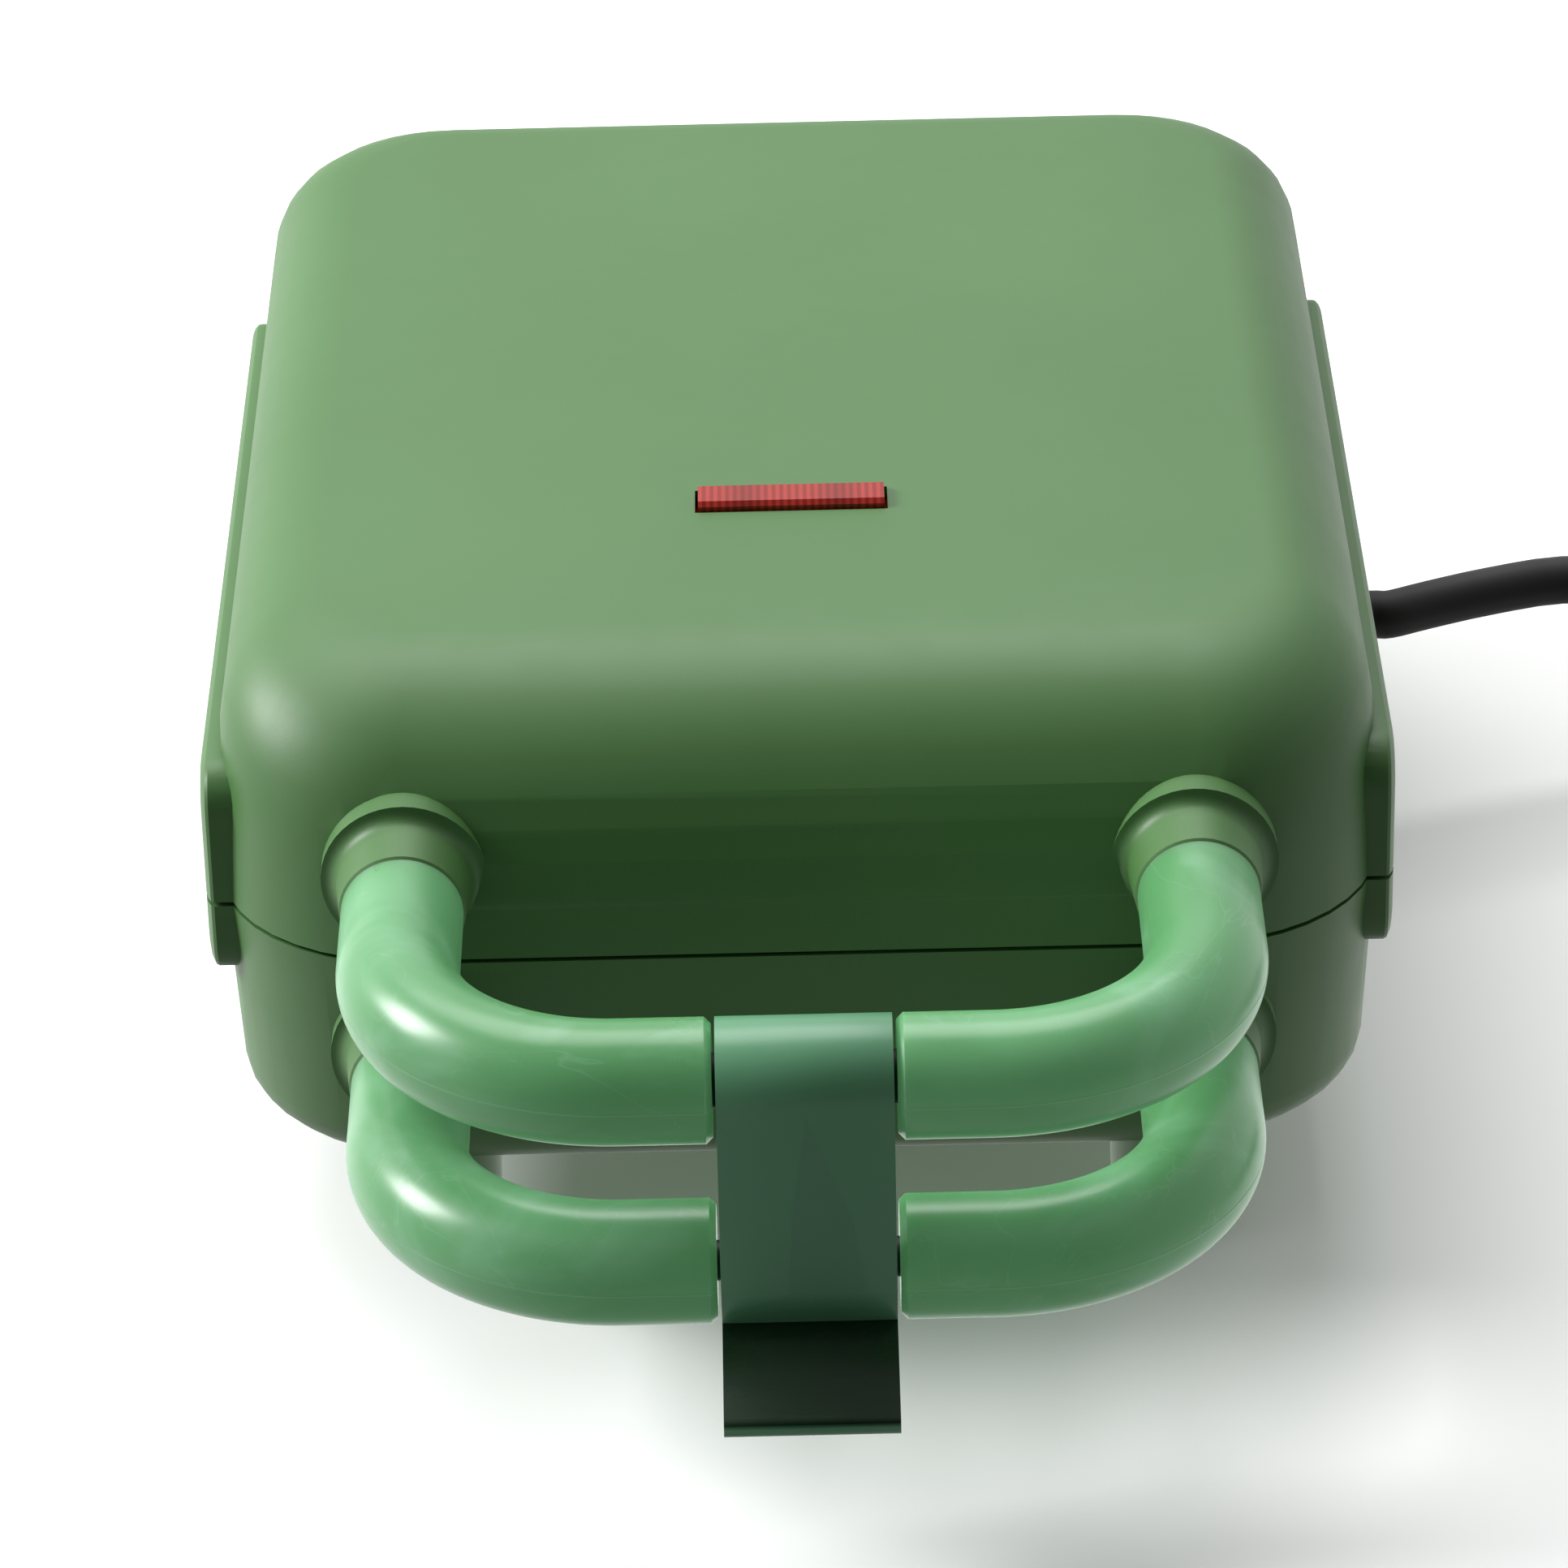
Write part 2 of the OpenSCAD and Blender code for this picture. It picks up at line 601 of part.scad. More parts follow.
module upper_handle_screws() color(steel) placed() handle_screws(upper_grip_z, seat_y + 0.02);

module grip_bar(z, d) {
    l = grip_gap + 2 * bar_hold - 0.2;
    translate([-l / 2, -grip_reach, z]) rotate([0, 90, 0]) cylinder(d = d, h = l);
}

module keeper_bar() color(steel) placed() grip_bar(lower_grip_z, keeper_bar_d);

module latch_bar() color(steel) placed() grip_bar(upper_grip_z, latch_bar_d);

module hinge_pins() color(steel) placed()
    for (side = [-1, 1]) translate([side * hinge_x - hinge_l / 2, body_d + hinge_back, part_z])
        rotate([0, 90, 0]) cylinder(d = pin_d, h = hinge_l);

module upper_housing() color(sage) placed() difference() {
    union() {
        difference() {
            union() {
                lid_form(0, 10, 9, rim_up);
                panels(rim_up, part_z + panel_up + 1);
                for (x = [-grip_x, grip_x]) collar(x, upper_grip_z);
            }
            difference() {
                lid_form(wall, 5, 5, part_z - 1);
                screw_seats(upper_grip_z);
            }
        }
        intersection() {
            lid_form(wall / 2, 5, 5, part_z - 1);
            for (p = boss_places) translate([p[0], p[1], over_plate + stub_l]) cylinder(r = boss_r, h = lid_h);
        }
        for (side = [-1, 1])
            knuckle(side * hinge_x, knuckle_in, rim_up + 0.3, part_z + knuckle_r);
    }
    collar_bores(upper_grip_z);
    for (p = boss_places) translate([p[0], p[1], over_plate]) cylinder(d = screw_d + 0.1, h = 19);
    for (side = [-1, 1]) hinge_bore(side * hinge_x, knuckle_in);
    translate([-lens_l / 2 - lens_gap, lens_y - lens_w / 2 - lens_gap, top_z - wall - 2])
        cube([lens_l + 2 * lens_gap, lens_w + 2 * lens_gap, wall + 4]);
}

module upper_plate() color(dark_coat) placed() difference() {
    union() {
        plate_flange(rim_up);
        for (p = pie_places) translate([p[0], p[1], over_plate]) mirror([0, 0, 1])
            rotate_extrude() polygon(cup_section(pie_r + cup_t, pie_floor_r + cup_t, top_depth + cup_t - plate_t, 3, 1));
        for (p = boss_places) translate([p[0], p[1], over_plate - 1]) cylinder(r = boss_r - 0.6, h = stub_l + 1);
        for (p = pie_places) translate([p[0], p[1], rim_up - crimp_h]) difference() {
            cylinder(r = pie_r + 1 + crimp_w, h = crimp_h + 1);
            translate([0, 0, -1]) cylinder(r = pie_r + 1, h = crimp_h + 3);
        }
    }
    for (p = pie_places) translate([p[0], p[1], rim_up]) mirror([0, 0, 1])
        rotate_extrude() polygon(cup_section(pie_r, pie_floor_r, top_depth, 3, crimp_h + 1));
    for (p = boss_places) {
        translate([p[0], p[1], part_z - 1]) cylinder(d = screw_d + 0.3, h = 20);
        translate([p[0], p[1], part_z - 1]) cylinder(d = head_d + 0.6, h = 1 + rim_gap / 2 + head_t + 0.3);
    }
}

// Screws driven up through the upper plate into the lid bosses
module upper_plate_screws() color(steel) placed()
    for (p = boss_places) translate([p[0], p[1], rim_up + head_t + 0.3]) screw(screw_d, 15, head_d, head_t);

module upper_heater() color(steel) placed() heater(upper_heater_z, heater_back);

module thermostat() color([0.25, 0.20, 0.16]) placed() {
    translate([0, thermo_y, over_plate + 0.1]) cylinder(d = 24, h = 9);
    translate([0, thermo_y, over_plate + 9]) cylinder(d = 14, h = 5);
    for (x = [-9.5, 6.5]) translate([x, thermo_y - 4, over_plate + 8]) cube([3, 0.8, 9]);
}

holder_w = lens_l + 9;
holder_d = 20;
roof_z = top_z - wall;
holder_h = 12;

// Open frame under the lid that carries the lens and the lamps
module lamp_holder() color([0.90, 0.89, 0.86]) placed() difference() {
    translate([-holder_w / 2, lens_y - holder_d / 2, roof_z - holder_h]) cube([holder_w, holder_d, holder_h - seat]);
    translate([-holder_w / 2 + 1.6, lens_y - holder_d / 2 + 1.6, roof_z - holder_h + 1.6])
        cube([holder_w - 3.2, holder_d - 3.2, holder_h]);
    for (x = [-lens_l / 4, lens_l / 4]) translate([x, lens_y, 0]) cylinder(d = 6.1, h = top_z);
}

module pilot_lamps() color([0.95, 0.55, 0.30]) placed()
    for (x = [-lens_l / 4, lens_l / 4]) translate([x, lens_y, roof_z - holder_h - 3]) {
        cylinder(d = 6, h = 9);
        translate([0, 0, 9]) sphere(d = 6);
    }

// End view of the lens bar, with bevelled top edges
module lens_section() {
    h = wall + 2 + lens_out;
    polygon([[-lens_w / 2, 0], [lens_w / 2, 0], [lens_w / 2, h - 0.7], [lens_w / 2 - 0.7, h],
             [0.7 - lens_w / 2, h], [-lens_w / 2, h - 0.7]]);
}

module pilot_lens() color(red_lens) placed() difference() {
    union() {
        translate([-lens_l / 2, lens_y, roof_z - 2]) rotate([90, 0, 90]) linear_extrude(lens_l) lens_section();
        translate([-lens_l / 2 - 2.4, lens_y - lens_w / 2 - 2.4, roof_z - seat - 1.4]) cube([lens_l + 4.8, lens_w + 4.8, 1.4]);
    }
    for (i = [0 : lens_ribs - 1])
        translate([-lens_l / 2 + lens_l * (i + 0.25) / lens_ribs, lens_y - lens_w / 2 + 0.7, roof_z - 3])
            cube([lens_l / lens_ribs / 2, lens_w - 1.4, 3 + wall + lens_out - 1.2]);
}

// Latch section in the plane of front to back (X here) and height (Y here), from the upper bar
latch_drop = grip_up + grip_down;
curl_r = grip_r - latch_t;
tail_way = [-cos(tail_slope), -sin(tail_slope)];
tail_side = [-sin(tail_slope), cos(tail_slope)] * latch_t / 2;
tail_tip = tail_start + tail_way * tail_l;

function around(c, r, a0, a1, n) = [for (i = [0 : n]) let (a = a0 + (a1 - a0) * i / n) c + r * [cos(a), sin(a)]];

module latch_section() {
    lower = [0, -latch_drop];
    // Where the strap's inner face leaves the ring round the bar
    ring_end = -180 + acos(curl_r / grip_r);
    difference() {
        polygon(concat(
            around([0, 0], grip_r, 180, ring_end, 36),
            around(lower, curl_r, 180, 180 + curl_angle, 8),
            around(lower + (grip_r - latch_t / 2) * [cos(180 + curl_angle), sin(180 + curl_angle)],
                   latch_t / 2, curl_angle + 12, curl_angle - 168, 7),
            [lower + tail_start - tail_side + tail_way * 0.4],
            around(lower + tail_tip, latch_t / 2, tail_slope - 90, tail_slope - 270, 8),
            [lower + tail_start + tail_side + tail_way * 1.2],
            around(lower, grip_r, 209, 180, 5)));
        circle(d = latch_bar_d + 2 * fit);
    }
}

module latch() color(deep_teal) placed()
    translate([-latch_w / 2, -grip_reach, upper_grip_z]) rotate([90, 0, 90]) linear_extrude(latch_w) latch_section();

// Strain relief: flange in the wall pocket, neck through the wall and a tapered sleeve outside
module cord_gland() color(rubber) placed() translate([gland_wall_x, cord_y, cord_z]) rotate([0, 90, 0]) rotate_extrude() polygon([
    [0, gland_out - gland_l], [5, gland_out - gland_l], [gland_neck_r, gland_out - gland_l + 1.5],
    [gland_neck_r, 0.02], [gland_flange_r, 0.02], [gland_flange_r, 2],
    [cord_d / 2 + 1.4, 3.4], [cord_d / 2 + 0.5, gland_out], [0, gland_out]]);

function unit(v) = v / norm(v);

function heading(path, i) = unit(path[min(i + 1, len(path) - 1)] - path[max(i - 1, 0)]);

// Ring of n points round each point of a path that never runs straight up
function tube_points(path, r, n) = [
    for (i = [0 : len(path) - 1])
        let (t = heading(path, i), s = unit(cross([0, 0, 1], t)), u = cross(t, s))
        for (k = [0 : n - 1]) path[i] + r * (s * cos(360 * (k + 0.5) / n) + u * sin(360 * (k + 0.5) / n))];

module tube(path, r, n) skin(tube_points(path, r, n), n, len(path));

// Smooth curve through three neighbouring steps of a route, at share w of the middle one
function smooth(a, b, c, d, w) = 0.5 * (2 * b + (c - a) * w + (2 * a - 5 * b + 4 * c - d) * w * w
    + (3 * b - a - 3 * c + d) * w * w * w);

function through(route, cuts) = [
    for (i = [0 : len(route) - 2]) for (j = [0 : cuts - 1])
        smooth(route[max(i - 1, 0)], route[i], route[i + 1], route[min(i + 2, len(route) - 1)], j / cuts),
    route[len(route) - 1]];

// Free cord: out of the strain relief, over and down to the table, then along it to the coil
cord_r = cord_d / 2;
cord_low = cord_r + 0.05;
cord_start = [gland_wall_x + gland_out, front_y + cord_y, cord_z];
cord_route = [
    cord_start, cord_start + [2.5, 0, 0], cord_start + [5, 0, 0],
    [109, 71, 38], [120, 75.5, 38], [133, 80, 37.5], [147, 82, 35.5], [161, 82.5, 31],
    [175, 81.5, 25], [188, 79.5, 18.5], [200, 77, 12.5], [211, 74.5, 8], [222, 72.7, 5.4], [232, 72, cord_low]];

// Coil on the table: a layer that winds inwards, half a turn up, a layer outwards and a straight tail
coil_x = 242;
coil_y = 18;
coil_pitch = cord_d + coil_gap;
turn_steps = 24;
tail_turn = 30;
tail_run = 48;

function coil_at(a) = let (
    r = coil_r - coil_pitch * (450 - abs(a - 450)) / 360,
    lift = a < 360 ? 0 : a < 540 ? (1 - cos(a - 360)) / 2 : 1)
    [coil_x + r * sin(a), coil_y + r * cos(a), cord_low + coil_pitch * lift];

coil_end = 900 - tail_turn;
coil_way = unit([cos(coil_end), -sin(coil_end), 0]);
coil_path = concat(
    [[232, 72, cord_low]],
    [for (a = [0 : 360 / turn_steps : coil_end]) coil_at(a)],
    [for (l = [tail_run / 3, tail_run * 2 / 3, tail_run]) coil_at(coil_end) + coil_way * l]);
plug_at = coil_at(coil_end) + coil_way * tail_run;

// Least gap between parts of the coil at least half a turn apart
coil_least_gap = min([for (i = [0 : len(coil_path) - 14]) for (j = [i + 12 : len(coil_path) - 1])
    norm(coil_path[i] - coil_path[j])]) - cord_d;
echo(coil_least_gap = coil_least_gap);

module power_cord() color(rubber) tube(through(cord_route, 2), cord_r, 10);

module cord_coil() color(rubber) tube(coil_path, cord_r, 6);

// Puts the plug's own frame, body along +Z, at the end of the cord
module at_plug() {
    translate(plug_at) rotate([0, 0, atan2(coil_way[1], coil_way[0])]) rotate([0, 90, 0]) children();
}

module plug() color(rubber) at_plug() union() {
    rotate_extrude() polygon([[0, 0], [cord_r + 0.6, 0], [cord_r + 1.4, 12], [8.5, 15], [10, 20],
        [9, 27], [10.2, plug_l - 8], [plug_r, plug_l - 5], [plug_r, plug_l - 1], [plug_r - 1, plug_l], [0, plug_l]]);
}

module plug_pins() color([0.78, 0.70, 0.45]) at_plug() {
    for (y = [-6.35, 6.35]) translate([-4.2, y - 0.75, plug_l]) cube([6.3, 1.5, 16]);
    translate([7.6, 0, plug_l]) cylinder(d = 4.8, h = 18, $fn = 32);
}

lower_housing();
base_cover();
base_cover_screws();
foot_pads();
lower_plate();
lower_pie_cups();
lower_plate_screws();
lower_heater();
lower_reflector();
thermal_fuse();
terminal_block();
lower_handle_left();
lower_handle_right();
lower_handle_screws();
keeper_bar();
hinge_pins();
cord_gland();
power_cord();
cord_coil();
plug();
plug_pins();
upper_housing();
upper_plate();
upper_plate_screws();
upper_heater();
upper_reflector();
thermostat();
upper_handle_left();
upper_handle_right();
upper_handle_screws();
latch_bar();
lamp_holder();
pilot_lamps();
pilot_lens();
latch();
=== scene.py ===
# %% [markdown]
# This scene dresses a countertop pie maker. Two moulded housings close over cast plates, and a
# pair of bent resin tubes at the front forms each handle. The CAD model settles every size and
# joint. This script adds the finishes, the mains cord, the light and the camera.

# %% Load the frame
import bpy
import json
from math import cos, pi, radians, sin
from mathutils import Matrix, Vector


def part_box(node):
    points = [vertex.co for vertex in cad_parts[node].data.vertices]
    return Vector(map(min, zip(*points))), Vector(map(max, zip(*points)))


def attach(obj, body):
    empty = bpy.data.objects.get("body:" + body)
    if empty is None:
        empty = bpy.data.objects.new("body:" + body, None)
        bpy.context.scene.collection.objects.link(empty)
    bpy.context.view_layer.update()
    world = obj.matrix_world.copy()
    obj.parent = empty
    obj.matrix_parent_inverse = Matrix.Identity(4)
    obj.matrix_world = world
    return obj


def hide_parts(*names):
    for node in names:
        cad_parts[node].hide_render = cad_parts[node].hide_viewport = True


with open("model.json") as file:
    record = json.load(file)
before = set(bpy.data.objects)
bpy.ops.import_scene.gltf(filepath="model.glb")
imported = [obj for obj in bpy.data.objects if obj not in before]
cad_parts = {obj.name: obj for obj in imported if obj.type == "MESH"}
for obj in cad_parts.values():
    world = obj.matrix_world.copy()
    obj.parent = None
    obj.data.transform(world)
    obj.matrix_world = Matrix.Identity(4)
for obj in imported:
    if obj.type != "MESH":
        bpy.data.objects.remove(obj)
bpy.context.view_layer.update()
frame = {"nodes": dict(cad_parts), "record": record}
MM = 0.001
nodes = frame["nodes"]
scene = bpy.context.scene

# %% [markdown]
# A long lens far from the object keeps its sides nearly parallel, as in a catalogue picture. The
# camera stands a little over a metre in front and looks down by about thirty degrees. A small
# roll tilts the back edge of the lid, because the object wasn't quite level in the picture.

# %% Camera
PITCH = radians(29.28)
YAW = radians(-0.115)
ROLL = radians(-1.375)
EYE = Vector((-0.00014, -1.0386, 0.6278))
FOCAL_PIXELS = 9000
FRAME_PIXELS = 1932
SENSOR = 36

look = Vector((sin(YAW) * cos(PITCH), cos(YAW) * cos(PITCH), -sin(PITCH)))
level = Vector((cos(YAW), -sin(YAW), 0))
up = level.cross(look)
right_way = level * cos(ROLL) + up * sin(ROLL)
up_way = up * cos(ROLL) - level * sin(ROLL)
turned = Matrix((right_way, up_way, -look)).transposed().to_4x4()
camera = bpy.data.objects.new("camera", bpy.data.cameras.new("camera"))
scene.collection.objects.link(camera)
camera.matrix_world = Matrix.Translation(EYE) @ turned
camera.data.sensor_width = SENSOR
camera.data.lens = SENSOR * FOCAL_PIXELS / FRAME_PIXELS
camera.data.clip_end = 20
scene.camera = camera
print("camera at", [round(c, 3) for c in EYE], "lens", round(camera.data.lens, 1))

# %% [markdown]
# Shader sums read best as sums. This small class wraps a node socket, so that two sockets or
# numbers can be added, scaled or compared with the usual signs, and each sign becomes one node.


# %% Shader arithmetic
class Value:
    """A number that a shader works out, with the usual signs of arithmetic."""

    def __init__(self, tree, socket):
        self.tree = tree
        self.socket = socket

    def math(self, operation, *others):
        node = self.tree.nodes.new("ShaderNodeMath")
        node.operation = operation
        for slot_in, item in zip(node.inputs, (self,) + others):
            if isinstance(item, Value):
                self.tree.links.new(item.socket, slot_in)
            else:
                slot_in.default_value = item
        return Value(self.tree, node.outputs[0])

    def number(self, amount):
        node = self.tree.nodes.new("ShaderNodeValue")
        node.outputs[0].default_value = amount
        return Value(self.tree, node.outputs[0])

    def __add__(self, other):
        return self.math("ADD", other)

    def __radd__(self, other):
        return self.math("ADD", other)

    def __sub__(self, other):
        return self.math("SUBTRACT", other)

    def __rsub__(self, other):
        return self.number(other).math("SUBTRACT", self)

    def __mul__(self, other):
        return self.math("MULTIPLY", other)

    def __rmul__(self, other):
        return self.math("MULTIPLY", other)

    def __truediv__(self, other):
        return self.math("DIVIDE", other)

    def clamp(self, low=0.0, high=1.0):
        return self.math("MAXIMUM", low).math("MINIMUM", high)

    def band(self, low, high):
        """0 below low and 1 above high, straight between them."""
        return ((self - low) / (high - low)).clamp()

    def line(self, middle, half_width):
        """1 on the middle value and 0 from half_width away."""
        return (1.0 - (self - middle).math("ABSOLUTE") / half_width).clamp()


print("shader values know + - * / and clamp, band, line")

# %% [markdown]
# Every finish here is one material around one main shader. This class keeps the two together and
# gives short calls for what the finishes share: places on the piece, noise, a mix of two colours
# and a bump. Colours go through a Mix node, because a Math node would turn them grey.


# %% One finish, one material
class Finish:
    """One material with its main shader, and short calls for the nodes that feed it."""

    def __init__(self, name, base, roughness, **settings):
        self.material = bpy.data.materials.new(name)
        self.material.use_nodes = True
        self.tree = self.material.node_tree
        self.shader = self.tree.nodes["Principled BSDF"]
        self.height = None
        self.set("Base Color", (*base, 1))
        self.set("Roughness", roughness)
        for key, amount in settings.items():
            self.set(key.replace("_", " "), amount)

    def feed(self, socket, amount):
        """Links a value or an output to the socket, or writes a plain number or colour on it."""
        if isinstance(amount, Value):
            self.tree.links.new(amount.socket, socket)
        elif hasattr(amount, "is_output"):
            self.tree.links.new(amount, socket)
        else:
            socket.default_value = amount

    def set(self, key, amount):
        self.feed(self.shader.inputs[key], amount)

    def node(self, kind, inputs=None, **settings):
        node = self.tree.nodes.new(kind)
        for key, amount in settings.items():
            setattr(node, key, amount)
        for key, amount in (inputs or {}).items():
            self.feed(node.inputs[key], amount)
        return node

    def place(self, output="Object"):
        return self.node("ShaderNodeTexCoord").outputs[output]

    def axes(self, output="Object"):
        parts = self.node("ShaderNodeSeparateXYZ", {"Vector": self.place(output)})
        return [Value(self.tree, out) for out in parts.outputs]

    def stretched(self, scale):
        inputs = {0: self.place(), 1: scale}
        return self.node("ShaderNodeVectorMath", inputs, operation="MULTIPLY").outputs[0]

    def noise(self, scale, detail=3.0, roughness=0.5, distortion=0.0, where=None):
        node = self.node("ShaderNodeTexNoise", {
            "Vector": where or self.place(), "Scale": scale, "Detail": detail,
            "Roughness": roughness, "Distortion": distortion})
        return Value(self.tree, node.outputs[0])

    def mix(self, share, first, second):
        """The first colour where share is 0 and the second where it is 1."""
        node = self.node("ShaderNodeMix", data_type="RGBA")
        for index, item in ((6, first), (7, second)):
            self.feed(node.inputs[index], item if hasattr(item, "is_output") else (*item, 1))
        self.feed(node.inputs[0], share)
        return node.outputs[2]

    def bump(self, height, depth, strength=1.0):
        """Adds a height of up to depth metres under the shader's normal."""
        inputs = {"Height": height, "Distance": depth, "Strength": strength}
        if self.height is not None:
            inputs["Normal"] = self.height
        self.height = self.node("ShaderNodeBump", inputs).outputs[0]
        self.set("Normal", self.height)


finishes = {}
print("a finish knows set, node, place, axes, stretched, noise, mix, bump")

# %% [markdown]
# Moulded plastic is never one flat colour up close. The tool that shaped it leaves a fine spark
# texture, which scatters highlights, and the pigment is a little uneven. Both are small here,
# because the real surface looks even from a step away.

# %% Housing plastic
HOUSING_GREEN = (0.058, 0.156, 0.041)
HOUSING_SHADE = (0.053, 0.146, 0.037)
SPARK_SCALE = 2600
SPARK_DEPTH = 0.03 * MM


def housing_finish():
    finish = Finish("housing", HOUSING_GREEN, 0.5)
    cloud = finish.noise(14, 3)
    finish.set("Base Color", finish.mix(cloud.band(0.35, 0.65), HOUSING_SHADE, HOUSING_GREEN))
    finish.set("Roughness", finish.noise(120, 2) * 0.08 + 0.44)
    finish.bump(finish.noise(SPARK_SCALE, 2, 0.6), SPARK_DEPTH, 0.35)
    return finish.material


finishes["housing"] = housing_finish()
print("housing plastic", len(finishes["housing"].node_tree.nodes), "nodes")

# %% [markdown]
# The handle tubes look like jade. Pale milky cloud lies in a deeper green resin, and thin veins
# show where the two flowed against each other. Light that enters the resin comes out again
# nearby, so it scatters under the surface here. A faint emission is painted light: it lifts the
# shaded side, though the resin gives no light of its own. The mould halves met on the middle
# plane of the tube and left a hair-thin line along its outside.

# %% Jade resin
JADE_DEEP = (0.070, 0.215, 0.080)
JADE_MID = (0.105, 0.280, 0.125)
JADE_PAINTED_GLOW = (0.120, 0.360, 0.150, 1.0)
JADE_PALE = (0.210, 0.390, 0.260)
SCATTER_REACH = 12 * MM
SEAM_HALF_WIDTH = 0.22 * MM
SEAM_DEPTH = 0.1 * MM
RIPPLE_DEPTH = 0.2 * MM


def jade_finish(name, seam_height):
    # the emission is a painted glow that lifts the shaded side of the tubes
    finish = Finish(name, JADE_MID, 0.3, Subsurface_Weight=0.7, Subsurface_Scale=SCATTER_REACH,
                    Emission_Color=JADE_PAINTED_GLOW, Emission_Strength=0.25)
    finish.set("Subsurface Radius", (0.5, 1.0, 0.6))
    flow = finish.stretched((1.0, 1.0, 1.6))
    swirl = finish.noise(17, 2, 0.5, 0.8, flow)
    cloud = finish.noise(36, 3, 0.55, 1.2, flow)
    body = finish.mix(swirl.band(0.38, 0.62), JADE_DEEP, JADE_MID)
    milky = finish.mix(cloud.band(0.48, 0.72) * 0.45, body, JADE_PALE)
    vein = finish.noise(26, 3, 0.5, 1.6, flow).line(0.5, 0.005) * 0.25
    veined = finish.mix(vein, milky, JADE_PALE)
    seam = finish.axes()[2].line(seam_height, SEAM_HALF_WIDTH)
    finish.set("Base Color", finish.mix(seam * 0.5, veined, JADE_PALE))
    finish.set("Roughness", finish.noise(70, 3) * 0.1 + 0.24)
    finish.bump(seam, SEAM_DEPTH, 0.8)
    finish.bump(finish.noise(160, 2), RIPPLE_DEPTH, 0.04)
    return finish.material


for part in ("upper", "lower"):
    grip_low, grip_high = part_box(part + "_handle_left")
    middle = (grip_low[2] + grip_high[2]) / 2
    finishes[part] = jade_finish("jade_" + part, middle)
    print(part, "handles, seam at", round(middle / MM, 1), "mm")

# %% [markdown]
# The latch is a darker, bluer green than the housings and has a smoother face. Handling leaves
# faint dull patches and a few fine marks on it, so its roughness varies more than its colour. The
# upward faces of the tail below the bar that the latch hooks under get a nearly black base colour,
# which is painted shade and a painted dark reflection: the real tail is the same green plastic.

# %% Latch plastic
LATCH_GREEN = (0.085, 0.250, 0.128)
LATCH_HAZE = (0.100, 0.272, 0.148)
# painted shade and dark reflection: the near-black colour of the tail's upward faces
LATCH_TAIL_PAINTED_SHADE = (0.002, 0.018, 0.004)
TAIL_BLEND = 1 * MM
SCRATCH_DEPTH = 0.02 * MM


def latch_finish(tail_height):
    finish = Finish("latch", LATCH_GREEN, 0.3)
    haze = finish.noise(90, 4, 0.6)
    height = finish.axes()[2]
    facing_up = finish.axes("Normal")[2].band(0.1, 0.5)
    # mask of the upward faces below the keeper bar, which get the painted shade
    tail = facing_up * (1.0 - height.band(tail_height, tail_height + TAIL_BLEND))
    body = finish.mix(haze.band(0.3, 0.8) * 0.5, LATCH_GREEN, LATCH_HAZE)
    finish.set("Base Color", finish.mix(tail, body, LATCH_TAIL_PAINTED_SHADE))
    finish.set("Roughness", haze * 0.16 + 0.24 - tail * 0.1)
    across = finish.stretched((1.0, 1.0, 14.0))
    finish.bump(finish.noise(70, 2, 0.5, 6.0, across).line(0.5, 0.01), SCRATCH_DEPTH, 0.25)
    return finish.material


keeper_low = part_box("keeper_bar")[0][2]
finishes["latch"] = latch_finish(keeper_low)
print("latch tail starts at", round(keeper_low / MM, 1), "mm")

# %% [markdown]
# The pilot lens is clear red plastic over ribs that spread the light of two small lamps. The
# ribs are cut in its underside, so the flat top shows them as fine light and dark bars.

# %% Lens and lamps
LENS_LENGTH = 29.5 * MM
LENS_RIBS = 24
LAMP_FROM_MIDDLE = 7.4 * MM
LAMP_RADIUS = 4 * MM


def lens_finish():
    finish = Finish("lens", (0.50, 0.020, 0.010), 0.2, IOR=1.49, Transmission_Weight=0.3)
    x = finish.axes()[0]
    rib = (x * (2 * pi * LENS_RIBS / LENS_LENGTH)).math("SINE").band(-0.4, 0.4)
    lamp = (x.math("ABSOLUTE") - LAMP_FROM_MIDDLE).line(0, LAMP_RADIUS)
    ribbed = finish.mix(rib * 0.6, (0.33, 0.010, 0.006), (0.62, 0.050, 0.030))
    finish.set("Base Color", finish.mix(lamp * 0.5, ribbed, (0.16, 0.006, 0.004)))
    finish.set("Roughness", finish.noise(300, 2) * 0.1 + 0.14)
    return finish.material


def lamp_finish():
    finish = Finish("lamp", (0.9, 0.45, 0.25), 0.15, IOR=1.5, Transmission_Weight=0.3)
    amber = finish.mix(finish.noise(200, 2), (0.9, 0.4, 0.2), (0.95, 0.6, 0.4))
    finish.set("Base Color", amber)
    return finish.material


finishes["lens"] = lens_finish()
finishes["lamp"] = lamp_finish()
print("lens", LENS_RIBS, "ribs over", round(LENS_LENGTH / MM, 1), "mm")

# %% [markdown]
# Metal pieces get a brushed or cast look from long or round noise. The grain runs along the
# direction in which the noise is stretched least. The two steel bars at the latch get a nearly
# black colour, which is painted shade: the narrow gaps beside the latch read dark and don't glint.

# %% Metals
BRUSH_DEPTH = 0.03 * MM


def metal_finish(name, colour, roughness, grain=(40, 900, 40)):
    finish = Finish(name, colour, roughness, Metallic=1.0)
    brush = finish.noise(1.0, 3, 0.6, 0.0, finish.stretched(grain))
    finish.set("Roughness", brush * 0.2 + roughness - 0.1)
    finish.set("Base Color", finish.mix(brush, [c * 0.85 for c in colour], colour))
    finish.bump(brush, BRUSH_DEPTH, 0.3)
    return finish.material


finishes["steel"] = metal_finish("steel", (0.60, 0.60, 0.61), 0.3)
